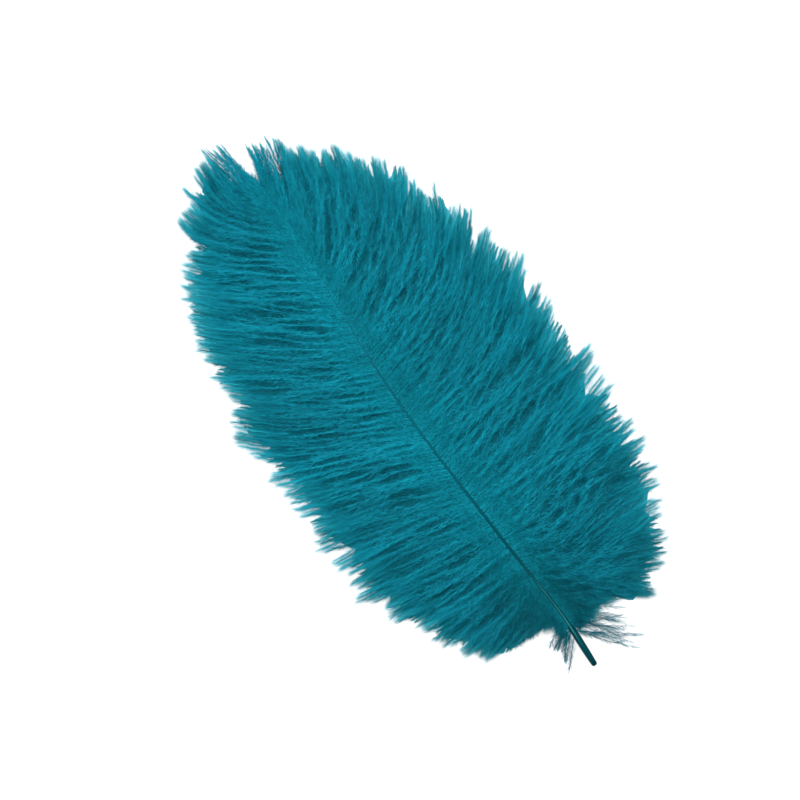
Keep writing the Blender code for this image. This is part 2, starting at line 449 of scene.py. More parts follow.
def part_and_bend(vane, layer, locks, row, plan, rng):
    """The barbs pushed aside where their locks part, with their own crinkles and bends."""
    heading = unit(np.gradient(plan, axis=1))
    ahead = np.stack([-heading[..., 1], heading[..., 0]], axis=2) * vane["side"]
    fine = wave_push(locks["fine"], row["place"], row["distance"])
    broad = wave_push(locks["broad"], row["place"], row["distance"])
    push = (1.0 - 0.8 * ease(OUT, 0.45, 1.0)) * fine + (0.45 - 0.30 * ease(OUT, 0.50, 1.0)) * broad
    shift = layer["parting"] * push * ease(row["distance"], 0.0, 18.0 * MM)
    crinkle = wiggle(layer["count"], (2.5, 7.0), rng)
    bend = vary(row["clumps"], {"tuft": 0.6 * MM, "lock": 0.7 * MM}, rng)[:, None]
    shift = shift + layer["wander"] * (crinkle * ease(OUT, 0.04, 0.2) + bend * ease(OUT, 0.35, 1.0) ** 1.4)
    return plan + ahead * shift[..., None]


def gather_tufts(vane, layer, row, plan):
    """The barbs' tips drawn together into tufts, and the tufts a little into locks."""
    tipward = near_tip(row["bases"])
    gather = layer["gather"] * (vane["gather"] + (TIP_GATHER - vane["gather"]) * tipward)[:, None]
    gathered = (gather * ease(OUT, 0.62 - 0.25 * tipward[:, None], 1.0))[..., None]
    plan = plan + (clump_mean(plan, row["clumps"]["tuft"]) - plan) * gathered
    gathered = (LOCK_GATHER * ease(OUT, 0.80, 1.0))[..., None]
    return plan + (clump_mean(plan, row["clumps"]["lock"]) - plan) * gathered


def barb_heights(vane, layer, locks, row, plan, rng):
    """Heights along the barbs: from their roots over the vane's underside, with the relief of their locks."""
    bases = row["bases"]
    underside = underside_z(vane, plan[..., 0], plan[..., 1])
    swell = layer["swell"] * np.minimum(1.0, row["length"] / FULL_SWELL_LENGTH)[:, None]
    body = layer["lift"] + swell * (ease(OUT, 0.0, 0.25) - 0.80 * ease(OUT, 0.55, 1.0))
    crest = np.maximum(1.80 * shaft_half_width(bases), 1.5 * MM * ease(bases, 0.45, 0.70))
    top_of_shaft = (arch_z(bases) + crest)[:, None]
    rooted = (1.0 - ease(row["distance"], 0.0, 5.0 * MM)) * layer["over_shaft"]
    level = underside + body + (top_of_shaft - underside - body) * rooted
    level = level + wiggle(layer["count"], (2.0, 5.0), rng) * ease(OUT, 0.05, 0.3)
    bend = vary(row["clumps"], {"tuft": 0.4 * MM, "lock": 0.5 * MM}, rng)[:, None]
    level = level + layer["wander"] * bend * ease(OUT, 0.4, 0.9)
    height = level + relief(locks, row["place"], row["distance"])
    return np.maximum(height, 4.0 * FLOOR_CLEARANCE)


def grow_barbs(vane, layer, locks, rng):
    """One layer of a vane's barbs. They wave in locks, and gather into tufts at their tips."""
    bases = barb_bases(layer["count"], rng)
    clumps = clump_barbs(layer["count"], rng)
    loose = 1.0 + LOOSER_AT_BASE * (1.0 - ease(bases, 0.07, 0.20)) + LOOSER_AT_TIP * ease(bases, 0.82, 0.94)
    stray_lean = loose * vary(clumps, {"tuft": 0.9, "lock": 0.6, "own": 0.7}, rng)
    route, steps = barb_routes(vane, bases, layer["wander"] * stray_lean)
    steps = steps * barb_stretch(vane, layer, bases, clumps, rng)

    length = steps * BARB_STEP
    distance = length[:, None] * OUT
    place = np.broadcast_to(bases[:, None] * FEATHER_LENGTH, distance.shape)
    row = {"bases": bases, "clumps": clumps, "length": length, "distance": distance, "place": place}
    plan = part_and_bend(vane, layer, locks, row, along_route(route, steps), rng)
    plan = gather_tufts(vane, layer, row, plan)
    height = barb_heights(vane, layer, locks, row, plan, rng)

    tone = layer["tone"] + vary(clumps, {"tuft": 0.05, "lock": 0.03, "own": 0.06}, rng)
    tone = tone - DARKER_AT_BASE * (1.0 - ease(bases, 0.16, 0.28))
    tone = tone + LIGHTER_AT_TIP * ease(bases, 0.70, 0.95) + vane["tone"]
    return {
        "path": np.concatenate([plan, height[..., None]], axis=2), "tone": np.clip(tone, 0.03, 0.95),
        "length": length, "slim": 1.0 - 0.20 * near_tip(bases) - 0.40 * among_spikes(vane, bases),
        "place": bases * FEATHER_LENGTH, "locks": locks, "side": vane["side"],
    }


def grow_wisps(vane, locks, rng):
    """A few loose short barbs beside the quill, sparse and splayed backwards."""
    wisps = vane["wisps"]
    count = wisps["count"]
    bases = np.sort(rng.uniform(*wisps["stations"], count))
    rooted = rng.uniform(*wisps["lean"], count)
    curl = rng.uniform(*wisps["curl"], count)
    length = rng.uniform(*wisps["length"], count)

    def lean(step, point):
        return rooted + curl * ease(step * BARB_STEP / length, 0.0, 1.1)

    plan = along_route(walk_barbs(vane, bases, lean), length / BARB_STEP)
    start = (arch_z(bases) + shaft_half_width(bases))[:, None]
    loose = rng.uniform(0.4 * MM, 2.6 * MM, count)[:, None]
    height = start * (1.0 - ease(length[:, None] * OUT, 0.0, 15.0 * MM)) + loose * ease(OUT, 0.1, 0.6)
    return {
        "path": np.concatenate([plan, height[..., None]], axis=2), "tone": rng.uniform(0.10, 0.40, count),
        "length": length, "slim": np.ones(count),
        "place": bases * FEATHER_LENGTH, "locks": locks, "side": vane["side"],
    }


# ---------------------------------------------------------------- fibres as joined meshes
UP = np.array([0.0, 0.0, 1.0])
GOLDEN_STEP = 0.618034
WEB_LEAST = 0.9 * MM
WEB_MOST = 4.5 * MM
SLOPE_STEP = 0.35 * MM
SLOPE_TILT = 0.6
STEEPEST = 1.2
# Painted shade in the fibres' colour, for each metre that they reach down into a crevice.
PAINTED_CREVICE_SHADE = 0.26 / MM
BUNCHING_LENGTH = 80.0 * MM


def tube_mesh(path, radius, tone):
    """Three-sided tapering tubes along many paths. Returns corners, quads and UVs."""
    count, points = path.shape[:2]
    along = unit(np.gradient(path, axis=1))
    across = unit(np.cross(along, UP))
    up = np.cross(across, along)
    rings = []
    for index in range(3):
        turn = math.tau * index / 3 + 0.5 * math.pi
        rings.append(path + radius[..., None] * (math.cos(turn) * across + math.sin(turn) * up))
    corners = np.stack(rings, axis=2).reshape(-1, 3)
    number = np.arange(count * points * 3).reshape(count, points, 3)
    quads = []
    for index in range(3):
        after = (index + 1) % 3
        quad = np.stack(
            [number[:, :-1, index], number[:, :-1, after], number[:, 1:, after], number[:, 1:, index]], axis=2
        )
        quads.append(quad.reshape(-1, 4))
    out = np.broadcast_to(np.linspace(0.01, 0.99, points)[None, :, None], (count, points, 3))
    shade = tone[:, None, None] + np.array([-0.02, 0.0, 0.02])[None, None, :]
    shade = np.broadcast_to(shade, (count, points, 3))
    corner_uv = np.stack([out, shade], axis=3).reshape(-1, 2)
    return corners, np.concatenate(quads), corner_uv


def barb_tubes(barbs, thick):
    """The barbs' own fine stems, from every second point of their paths."""
    path = barbs["path"][:, ::2]
    out = np.linspace(0.0, 1.0, path.shape[1])
    radius = np.broadcast_to(thick * (1.0 - 0.75 * ease(out, 0.0, 0.9)), path.shape[:2])
    corners, quads, corner_uv = tube_mesh(path, radius, barbs["tone"])
    return corners, quads, np.zeros((0, 3), int), corner_uv


def near_base(place, distance):
    """1 on the darker barbs beside the shaft at the base, 0 farther up the feather and farther out."""
    low_down = 1.0 - ease(place, 0.12 * FEATHER_LENGTH, 0.34 * FEATHER_LENGTH)
    return low_down * (1.0 - ease(distance, 8.0 * MM, 28.0 * MM))


def web_mesh(barbs):
    """A soft flat ribbon along each barb of the lower layer: its matted down, which closes the vane."""
    path = barbs["path"]
    along = unit(np.gradient(path, axis=1))
    across = unit(np.cross(along, UP))
    gaps = np.abs((np.diff(path, axis=0) * across[:-1]).sum(axis=2))
    widest = np.maximum(np.concatenate([gaps[:1], gaps]), np.concatenate([gaps, gaps[-1:]]))
    half_width = np.clip(0.75 * widest, WEB_LEAST, WEB_MOST)
    half_width = half_width * ease(OUT, -0.25, 0.02) * (1.0 - 0.85 * ease(OUT, 0.88, 1.0))
    spread = across * half_width[..., None]
    droop = np.array([0.0, 0.0, 0.25]) * half_width[..., None]
    corners = np.stack([path - spread - droop, path, path + spread - droop], axis=2)
    corners[..., 2] = np.maximum(corners[..., 2], FLOOR_CLEARANCE)
    number = np.arange(len(path) * BARB_POINTS * 3).reshape(len(path), BARB_POINTS, 3)
    quads = []
    for index in range(2):
        edge, other = number[..., index], number[..., index + 1]
        quad = np.stack([other[:, :-1], edge[:, :-1], edge[:, 1:], other[:, 1:]], axis=2)
        quads.append(quad.reshape(-1, 4))
    # The lower layer's painted shade, lessened towards the rim.
    rim_tone = (0.22 * ease(OUT, 0.50, 0.90))[None, :, None]
    shade = barbs["tone"][:, None, None] + np.array([-0.04, 0.03, -0.04])[None, None, :] + rim_tone
    base_shade = BASE_SHADE * near_base(barbs["place"][:, None], barbs["length"][:, None] * OUT)
    shade = np.clip(shade - base_shade[..., None], 0.01, 0.98)
    out = np.broadcast_to(np.clip(OUT, 0.01, 0.99)[None, :, None], corners.shape[:3])
    corner_uv = np.stack([out, shade], axis=3).reshape(-1, 2)
    return corners.reshape(-1, 3), np.concatenate(quads), np.zeros((0, 3), int), corner_uv


def share(values, spread, look, rng):
    """Each bundle's value for all its barbules, each a little off it."""
    return np.repeat(values, look["bundle"]) + rng.normal(0.0, spread, len(values) * look["bundle"])


def barbule_spots(barbs, bundles, rng, look):
    """Barb that each barbule leaves, how far out it does, its root there and the barb's direction."""
    path = barbs["path"]
    number = np.arange(bundles)
    shares = np.cumsum(barbs["length"]) / barbs["length"].sum()
    which = np.minimum(np.searchsorted(shares, (number + 0.5) / bundles), len(path) - 1)
    which = np.repeat(which, look["bundle"])
    even = (rng.uniform(0.0, 1.0) + number * GOLDEN_STEP) % 1.0
    out = look["first"] + (look["last"] - look["first"]) * even ** look["rooting"]
    out = np.clip(share(out, look["bunching"] / BUNCHING_LENGTH, look, rng), 0.0, look["last"])
    spot = out * LAST_SPOT
    low = spot.astype(int)
    rest = (spot - low)[:, None]
    before, after = path[which, low], path[which, low + 1]
    return which, out, before * (1.0 - rest) + after * rest, unit(after - before)


def face_slope(locks, place, distance, along):
    """How steeply the vane's face climbs along the feather."""
    climb = relief(locks, place + SLOPE_STEP, distance) - relief(locks, place - SLOPE_STEP, distance)
    return np.clip(climb / (2.0 * SLOPE_STEP * np.maximum(0.5, np.abs(along[:, 0]))), -STEEPEST, STEEPEST)


def barbule_roots(barbs, count, rng, look):
    """Where barbules leave their barbs, and how they point: all round the barb, swept towards its tip.

    They cling together in small bundles, whose barbules share their root, direction and shade.
    """
    bundles = count // look["bundle"]
    which, out, root, along = barbule_spots(barbs, bundles, rng, look)
    place, distance = barbs["place"][which], barbs["length"][which] * out
    flat = unit(np.cross(along, UP))
    lift = np.cross(flat, along)
    slim = 1.0 - (1.0 - barbs["slim"][which]) * ease(out, 0.45, 1.0)

    turn = np.radians(share(rng.uniform(-look["fan"], look["fan"], bundles), 7.0, look, rng))
    radial = lift * np.cos(turn)[:, None] + flat * np.sin(turn)[:, None]
    sideways = np.cross(along, radial)
    opening = look["opening"] * (1.0 - ease(out, 0.0, 0.22)) - look["closing"] * out
    angle = share(rng.normal(look["angle"], 9.0, bundles), 2.5, look, rng) + opening
    angle = np.radians(angle * slim * (1.0 - 0.55 * ease(out, 0.86, 1.0)))[:, None]
    aim = along * np.cos(angle) + radial * np.sin(angle)
    facing = radial * np.cos(angle) - along * np.sin(angle)
    facing = facing + sideways * rng.normal(0.0, look["twist"], len(turn))[:, None]
    ahead = np.stack([-along[:, 1], along[:, 0], np.zeros(len(turn))], axis=1) * barbs["side"]
    tilt = ahead * (SLOPE_TILT * face_slope(barbs["locks"], place, distance, along))[:, None]
    facing = unit(unit(facing) * (1.0 - look["face_up"]) + lift * look["face_up"] - tilt)
    width = unit(np.cross(facing, aim)) * (0.5 * look["width"] * rng.uniform(0.7, 1.3, len(turn)))[:, None]
    length = look["length"] * share(rng.uniform(0.6, 1.2, bundles), 0.06, look, rng)
    length = length * slim * (0.55 + 0.45 * ease(out, 0.0, 0.15))
    length = length * (1.0 - (1.0 - look["tip"]) * ease(out, 0.72, 1.0))

    # Each kind's own lighter tone, which on the collar beside the shaft is painted sheen, less the darker
    # base.
    kind_and_base_tone = look["tone"] * ease(place, 0.10 * FEATHER_LENGTH, 0.35 * FEATHER_LENGTH)
    kind_and_base_tone = kind_and_base_tone - BASE_SHADE * near_base(place, distance)
    tone = barbs["tone"][which] + kind_and_base_tone + share(rng.normal(0.0, look["mottle"], bundles), 0.03, look, rng)
    # Painted light: barbules standing on top of their barb are lighter, those underneath darker.
    tone = tone + look["painted_top_light"] * np.cos(turn)
    return {
        "root": root, "along": along, "aim": aim, "width": width, "length": length, "out": out, "tone": tone,
        "ahead": ahead, "place": place, "distance": distance,
    }


def follow_relief(point, found, locks):
    """Fibre ends follow the ridges and crevices that they reach. Their colour gets painted shade down in the
    crevices and a little painted light on the ridges.
    """
    step = point - found["root"]
    aside = (step * found["ahead"]).sum(axis=1) / np.maximum(0.5, np.abs(found["along"][:, 0]))
    forward = (step * found["along"]).sum(axis=1)
    here = relief(locks, found["place"], found["distance"])
    there = relief(locks, found["place"] + aside, found["distance"] + forward)
    point[:, 2] += there - here
    # Painted shade: darker down in the crevices, a little lighter up on the ridges.
    found["tone"] = np.clip(found["tone"] + PAINTED_CREVICE_SHADE * np.minimum(there, 0.3 * MM), 0.02, 0.98)
    return point


def fibre_uv(out, tone, offsets):
    """UVs of small fibres: how far out along the barb, how light. Each corner has an (out, tone) offset."""
    u = np.stack([out + 0.03 * offset[0] for offset in offsets], axis=1)
    v = np.stack([tone + 0.012 * offset[1] for offset in offsets], axis=1)
    return np.stack([np.clip(u, 0.005, 0.995), np.clip(v, 0.005, 0.995)], axis=2).reshape(-1, 2)


def needle_mesh(barbs, count, rng, look):
    """Fine straight barbules, one long thin face each."""
    found = barbule_roots(barbs, count, rng, look)
    count = len(found["out"])
    tip = follow_relief(found["root"] + found["aim"] * found["length"][:, None], found, barbs["locks"])
    corners = np.stack([found["root"] - found["width"], found["root"] + found["width"], tip], axis=1)
    corners[..., 2] = np.maximum(corners[..., 2], FLOOR_CLEARANCE)
    triangles = np.arange(count * 3).reshape(count, 3)[:, [1, 0, 2]]
    corner_uv = fibre_uv(found["out"], found["tone"], ((-1, -1), (-1, 1), (1, 0)))
    return corners.reshape(-1, 3), np.zeros((0, 4), int), triangles, corner_uv


def barbule_mesh(barbs, count, rng, look):
    """Bent, tapering barbules, for the fringe and the wisps."""
    found = barbule_roots(barbs, count, rng, look)
    count = len(found["out"])
    half = (0.5 * found["length"])[:, None]
    down = UP * rng.normal(look["droop"], 0.20, count)[:, None]
    bent = unit(found["aim"] + found["along"] * rng.uniform(0.1, 0.7, count)[:, None] - down)
    middle = follow_relief(found["root"] + found["aim"] * half, found, barbs["locks"])
    tip = middle + bent * half
    root, width = found["root"], found["width"]
    corners = [root - width, root + width, middle - 0.8 * width, middle + 0.8 * width, tip]
    corners = np.stack(corners, axis=1)
    corners[..., 2] = np.maximum(corners[..., 2], FLOOR_CLEARANCE)
    number = np.arange(count * 5).reshape(count, 5)
    corner_uv = fibre_uv(found["out"], found["tone"], ((-1, -1), (-1, 1), (0, -1), (0, 1), (1, 0)))
    return corners.reshape(-1, 3), number[:, [1, 0, 2, 3]], number[:, [3, 2, 4]], corner_uv


def fibre_object(name, corners, quads, triangles, corner_uv, material):
    """One mesh object from arrays of corners, four-sided and three-sided faces."""
    data = bpy.data.meshes.new(name)
    data.vertices.add(len(corners))
    data.vertices.foreach_set("co", np.asarray(corners, np.float32).ravel())
    loops = np.concatenate([quads.ravel(), triangles.ravel()]).astype(np.int32)
    starts = np.concatenate([
        np.arange(len(quads)) * 4,
        len(quads) * 4 + np.arange(len(triangles)) * 3,
    ]).astype(np.int32)
    data.loops.add(len(loops))
    data.loops.foreach_set("vertex_index", loops)
    data.polygons.add(len(starts))
    data.polygons.foreach_set("loop_start", starts)
    uv = data.uv_layers.new(name="OFBake")
    uv.data.foreach_set("uv", np.asarray(corner_uv, np.float32)[loops].ravel())
    data.update(calc_edges=True)
    data.shade_smooth()
    data.materials.append(material)
    piece = bpy.data.objects.new(name, data)
    bpy.context.scene.collection.objects.link(piece)
    return piece


# ---------------------------------------------------------------- materials
def new_material(name):
    material = bpy.data.materials.new(name)
    material.use_nodes = True
    tree = material.node_tree
    return material, tree, tree.nodes["Principled BSDF"]


def own_map(tree):
    """A piece's own map and its two parts: on fibres, out along the barb and how light the fibre is."""
    place = tree.nodes.new("ShaderNodeUVMap")
    place.uv_map = "OFBake"
    split = tree.nodes.new("ShaderNodeSeparateXYZ")
    tree.links.new(place.outputs["UV"], split.inputs["Vector"])
    return place.outputs["UV"], split.outputs["X"], split.outputs["Y"]


def colour_ramp(tree, source, stops):
    """A colour ramp from (position, colour) stops."""
    ramp = tree.nodes.new("ShaderNodeValToRGB")
    elements = ramp.color_ramp.elements
    while len(elements) < len(stops):
        elements.new(0.5)
    for element, (position, colour) in zip(elements, stops):
        element.position = position
        element.color = (*colour, 1.0)
    tree.links.new(source, ramp.inputs["Fac"])
    return ramp.outputs["Color"]


def dye_streaks_group():
    """Uneven dye in long streaks: a shade that varies between two limits over a stretched map."""
    group = bpy.data.node_groups.new("dye streaks", "ShaderNodeTree")
    face = group.interface
    face.new_socket("Vector", in_out="INPUT", socket_type="NodeSocketVector")
    face.new_socket("Stretch", in_out="INPUT", socket_type="NodeSocketVector")
    face.new_socket("Least", in_out="INPUT", socket_type="NodeSocketFloat")
    face.new_socket("Most", in_out="INPUT", socket_type="NodeSocketFloat")
    face.new_socket("Shade", in_out="OUTPUT", socket_type="NodeSocketFloat")
    given = group.nodes.new("NodeGroupInput")
    result = group.nodes.new("NodeGroupOutput")
    stretch = group.nodes.new("ShaderNodeVectorMath")
    stretch.operation = "MULTIPLY"
    noise = group.nodes.new("ShaderNodeTexNoise")
    noise.inputs["Scale"].default_value = 1.0
    noise.inputs["Detail"].default_value = 3.0
    limits = group.nodes.new("ShaderNodeMapRange")
    limits.inputs["From Min"].default_value = 0.30
    limits.inputs["From Max"].default_value = 0.70
    group.links.new(given.outputs["Vector"], stretch.inputs[0])
    group.links.new(given.outputs["Stretch"], stretch.inputs[1])
    group.links.new(stretch.outputs["Vector"], noise.inputs["Vector"])
    group.links.new(noise.outputs["Fac"], limits.inputs["Value"])
    group.links.new(given.outputs["Least"], limits.inputs["To Min"])
    group.links.new(given.outputs["Most"], limits.inputs["To Max"])
    group.links.new(limits.outputs["Result"], result.inputs["Shade"])
    return group


def add_streaks(tree, group, vector, stretch, least, most):
    """The dye streaks placed in a material. Returns their shade."""
    node = tree.nodes.new("ShaderNodeGroup")
    node.node_tree = group
    node.inputs["Stretch"].default_value = stretch
    node.inputs["Least"].default_value = least
    node.inputs["Most"].default_value = most
    tree.links.new(vector, node.inputs["Vector"])
    return node.outputs["Shade"]


def map_range(tree, source, start, end, low, high):
    """A value taken from one span to another."""
    node = tree.nodes.new("ShaderNodeMapRange")
    node.inputs["From Min"].default_value = start
    node.inputs["From Max"].default_value = end
    node.inputs["To Min"].default_value = low
    node.inputs["To Max"].default_value = high
    tree.links.new(source, node.inputs["Value"])
    return node.outputs["Result"]


def scalar_math(tree, operation, first, second):
    """A Math node on a socket and a socket or number."""
    node = tree.nodes.new("ShaderNodeMath")
    node.operation = operation
    tree.links.new(first, node.inputs[0])
    if isinstance(second, float):
        node.inputs[1].default_value = second
    else:
        tree.links.new(second, node.inputs[1])
    return node.outputs["Value"]


def shade_colour(tree, colour, shade):
    """A colour made darker or lighter by a shade."""
    node = tree.nodes.new("ShaderNodeVectorMath")
    node.operation = "SCALE"
    tree.links.new(colour, node.inputs[0])
    tree.links.new(shade, node.inputs["Scale"])
    return node.outputs["Vector"]


def dyed_barb_material(streaks):
    """Teal-dyed barbs: lighter beside the shaft with painted sheen, light again at their thin tips, and deeper
    between.
    """
    material, tree, shader = new_material("dyed barbs")
    vector, out, tone = own_map(tree)
    colour = colour_ramp(tree, out, (
        # The lighter stops beside the shaft are painted sheen.
        (0.00, (0.0050, 0.306, 0.404)),
        (0.12, (0.0045, 0.296, 0.394)),
        (0.35, (0.0035, 0.238, 0.326)),
        (0.76, (0.0035, 0.238, 0.326)),
        (0.84, (0.0048, 0.262, 0.352)),
        (0.90, (0.0095, 0.312, 0.402)),
        (0.95, (0.0230, 0.362, 0.450)),
        (1.00, (0.0550, 0.430, 0.505)),
    ))
    # The map's tone: each fibre's own tone with painted shade in crevices and under the top layer, painted
    # light on top and painted sheen by the shaft.
    depth = map_range(tree, tone, start=0.0, end=1.0, low=0.35, high=1.46)
    uneven = add_streaks(tree, streaks, vector, stretch=(14.0, 40.0, 1.0), least=0.90, most=1.10)
    colour = shade_colour(tree, colour, scalar_math(tree, "MULTIPLY", depth, uneven))
    tree.links.new(colour, shader.inputs["Base Color"])
    shader.inputs["Roughness"].default_value = 0.62
    shader.inputs["Specular IOR Level"].default_value = 0.05
    return material


# The pale line on top of the shaft: partly pale keratin, partly a painted highlight.
PALE_HIGHLIGHT_TURN = 0.48
PALE_HIGHLIGHT_COLOUR = (0.045, 0.300, 0.320, 1.0)
GRAIN_LEAST = 0.70
GRAIN_MOST = 1.25


def pale_highlight_line(tree, streaks, vector, turn, station):
    """Strength of the pale line along the top of the shaft's lower part, partly pale keratin and partly a
    painted highlight: narrow, patchy and fading out.
    """
    off_line = scalar_math(tree, "ABSOLUTE", scalar_math(tree, "SUBTRACT", turn, PALE_HIGHLIGHT_TURN), 0.0)
    line = map_range(tree, off_line, start=0.010, end=0.034, low=1.0, high=0.0)
    patchy = add_streaks(tree, streaks, vector, stretch=(6.0, 30.0, 1.0), least=0.25, most=1.0)
    fading = map_range(tree, station, start=0.09, end=0.22, low=0.85, high=0.0)
    rising = map_range(tree, station, start=0.035, end=0.065, low=0.0, high=1.0)
    fading = scalar_math(tree, "MULTIPLY", fading, rising)
    return scalar_math(tree, "MULTIPLY", scalar_math(tree, "MULTIPLY", line, patchy), fading)


def shaft_material(streaks):
    """Dyed keratin: darkest at the quill's end, with fine long streaks and a pale line on top low down, partly
    pale keratin and partly a painted highlight.
    """
    material, tree, shader = new_material("dyed keratin")
    vector, turn, station = own_map(tree)
    colour = colour_ramp(tree, station, (
        (0.000, (0.0003, 0.016, 0.022)),
        (0.012, (0.0003, 0.034, 0.043)),
        (0.030, (0.0003, 0.040, 0.052)),
        (0.100, (0.0003, 0.034, 0.041)),
        (0.200, (0.0005, 0.042, 0.054)),
        (0.300, (0.0008, 0.056, 0.076)),
        (0.450, (0.0008, 0.076, 0.100)),
        (0.600, (0.0010, 0.082, 0.112)),
        (0.700, (0.0020, 0.140, 0.190)),
        (0.800, (0.0030, 0.210, 0.280)),
    ))
    grain = add_streaks(tree, streaks, vector, stretch=(42.0, 16.0, 1.0), least=GRAIN_LEAST, most=GRAIN_MOST)
    mix = tree.nodes.new("ShaderNodeMix")
    mix.data_type = "RGBA"
    tree.links.new(pale_highlight_line(tree, streaks, vector, turn, station), mix.inputs["Factor"])
    tree.links.new(shade_colour(tree, colour, grain), mix.inputs["A"])
    mix.inputs["B"].default_value = PALE_HIGHLIGHT_COLOUR
    tree.links.new(mix.outputs["Result"], shader.inputs["Base Color"])
    roughness = map_range(tree, grain, start=GRAIN_LEAST, end=GRAIN_MOST, low=0.46, high=0.30)
    tree.links.new(roughness, shader.inputs["Roughness"])
    bump = tree.nodes.new("ShaderNodeBump")
    bump.inputs["Strength"].default_value = 0.35
    bump.inputs["Distance"].default_value = 0.06 * MM
    tree.links.new(grain, bump.inputs["Height"])
    tree.links.new(bump.outputs["Normal"], shader.inputs["Normal"])
    shader.inputs["Specular IOR Level"].default_value = 0.02
    return material


def floor_material():
    material, tree, shader = new_material("pale floor")
    shader.inputs["Base Color"].default_value = (0.55, 0.55, 0.55, 1.0)
    shader.inputs["Emission Color"].default_value = (1.0, 1.0, 1.0, 1.0)
    shader.inputs["Emission Strength"].default_value = 0.42
    shader.inputs["Roughness"].default_value = 0.85
    shader.inputs["Specular IOR Level"].default_value = 0.0
    return material


# ---------------------------------------------------------------- kinds of barbule
# Angles are in degrees. "angle" is how far a barbule opens from its barb, and "fan" how far round the barb
# it may stand. "first" and "last" bound the part of the barb that carries them, and a "rooting" under 1
# moves them outwards. "face_up" turns their faces up. "tip" is their length at the barb's tip against that
# lower down.
DOWN = {
    "width": 0.40 * MM, "length": 5.0 * MM, "angle": 42.0, "closing": 12.0, "opening": 25.0, "twist": 0.4,
    "first": 0.0, "last": 0.990, "rooting": 0.78, "fan": 150.0, "droop": 0.05, "tone": 0.0, "tip": 0.55,
    "face_up": 0.85, "mottle": 0.05, "bundle": 1, "bunching": 0.0, "painted_top_light": 0.0,
}
ROOT_DOWN = dict(DOWN, last=0.09, rooting=1.0, length=4.0 * MM, angle=60.0, opening=0.0)
FLUFF = {
    "width": 0.17 * MM, "length": 2.8 * MM, "angle": 42.0, "closing": 12.0, "opening": 15.0, "twist": 0.6,
    "first": 0.0, "last": 0.960, "rooting": 0.86, "fan": 105.0, "droop": 0.10, "tone": 0.0, "tip": 0.50,
    "face_up": 0.45, "mottle": 0.13, "bundle": 3, "bunching": 0.16 * MM, "painted_top_light": 0.06,
}
# The collar's lighter tone is painted sheen beside the shaft.
COLLAR = dict(
    FLUFF, width=0.13 * MM, length=2.4 * MM, angle=44.0, opening=0.0, last=0.15, rooting=1.1, tone=0.13,
)
FRINGE = {
    "width": 0.075 * MM, "length": 4.0 * MM, "angle": 30.0, "closing": 10.0, "opening": 0.0, "twist": 0.6,
    "first": 0.35, "last": 1.000, "rooting": 0.50, "fan": 110.0, "droop": 0.10, "tone": 0.06, "tip": 0.95,
    "face_up": 0.35, "mottle": 0.11, "bundle": 2, "bunching": 0.12 * MM, "painted_top_light": 0.04,
}
RIM = dict(
    FRINGE, width=0.05 * MM, length=5.2 * MM, angle=46.0, closing=14.0, first=0.74, rooting=0.75, tone=0.04,
    tip=0.9, bunching=0.15 * MM,
)
HAZE = dict(
    FRINGE, width=0.034 * MM, length=6.6 * MM, angle=34.0, first=0.92, rooting=0.95, tone=0.20, tip=1.0,
    bundle=1, bunching=0.10 * MM,
)
WISP_BARBULES = {
    "width": 0.09 * MM, "length": 3.8 * MM, "angle": 42.0, "closing": 18.0, "opening": 0.0, "twist": 0.7,
    "first": 0.06, "last": 0.998, "rooting": 0.95, "fan": 100.0, "droop": 0.10, "tone": 0.10, "tip": 0.35,
    "face_up": 0.30, "mottle": 0.10, "bundle": 2, "bunching": 0.2 * MM, "painted_top_light": 0.0,
}
DOWN_A_SIDE = 47000
ROOT_DOWN_A_SIDE = 9000
COLLAR_A_SIDE = 22000
RIM_A_SIDE = 94000
FRINGE_A_SIDE = 20000
HAZE_A_SIDE = 6000
FLUFF_PIECES = 3
FLUFF_A_PIECE = 63000
BARBULES_A_WISP = 130


# ---------------------------------------------------------------- the feather
BARB_RADIUS = 0.14 * MM
WISP_RADIUS = 0.15 * MM
FACET_GAP = 0.01 * MM
SHARP_EDGE = math.radians(50.0)
SEAM_ROOM = 0.94


def finish_piece(piece, node):
    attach(piece, "root")
    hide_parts(node)


def build_vane(vane, material, rng):
    """One vane's barbs, the web and down between them, and the barbules along them."""
    side = vane["name"]
    waves = {
        "fine": make_waves(rng, vane),
        "broad": make_waves(rng, BROAD_LOCKS),
        "hair": make_waves(rng, HAIR_LOCKS),
    }
    under = grow_barbs(vane, UNDER_LAYER, lock_heights(waves, vane, UNDER_LAYER), rng)
    top = grow_barbs(vane, TOP_LAYER, lock_heights(waves, vane, TOP_LAYER), rng)
    wisps = grow_wisps(vane, top["locks"], rng)
    barbules_of_wisps = BARBULES_A_WISP * vane["wisps"]["count"]
    pieces = {
        f"barbs_{side}": barb_tubes(top, BARB_RADIUS),
        f"web_{side}": web_mesh(under),
        f"down_{side}": needle_mesh(under, DOWN_A_SIDE, rng, DOWN),
        f"root_down_{side}": needle_mesh(under, ROOT_DOWN_A_SIDE, rng, ROOT_DOWN),
        f"collar_{side}": needle_mesh(top, COLLAR_A_SIDE, rng, COLLAR),
        f"rim_{side}": needle_mesh(top, RIM_A_SIDE, rng, RIM),
        f"fringe_{side}": barbule_mesh(top, FRINGE_A_SIDE, rng, FRINGE),
        f"wisp_stems_{side}": barb_tubes(wisps, WISP_RADIUS),
        f"wisps_{side}": barbule_mesh(wisps, barbules_of_wisps, rng, WISP_BARBULES),
    }
    for number in range(FLUFF_PIECES):
        pieces[f"fluff_{side}_{number + 1}"] = needle_mesh(top, FLUFF_A_PIECE, rng, FLUFF)
    pieces[f"haze_{side}"] = needle_mesh(top, HAZE_A_SIDE, rng, HAZE)
    for name, mesh in pieces.items():
        finish_piece(fibre_object(name, *mesh, material), vane["node"])


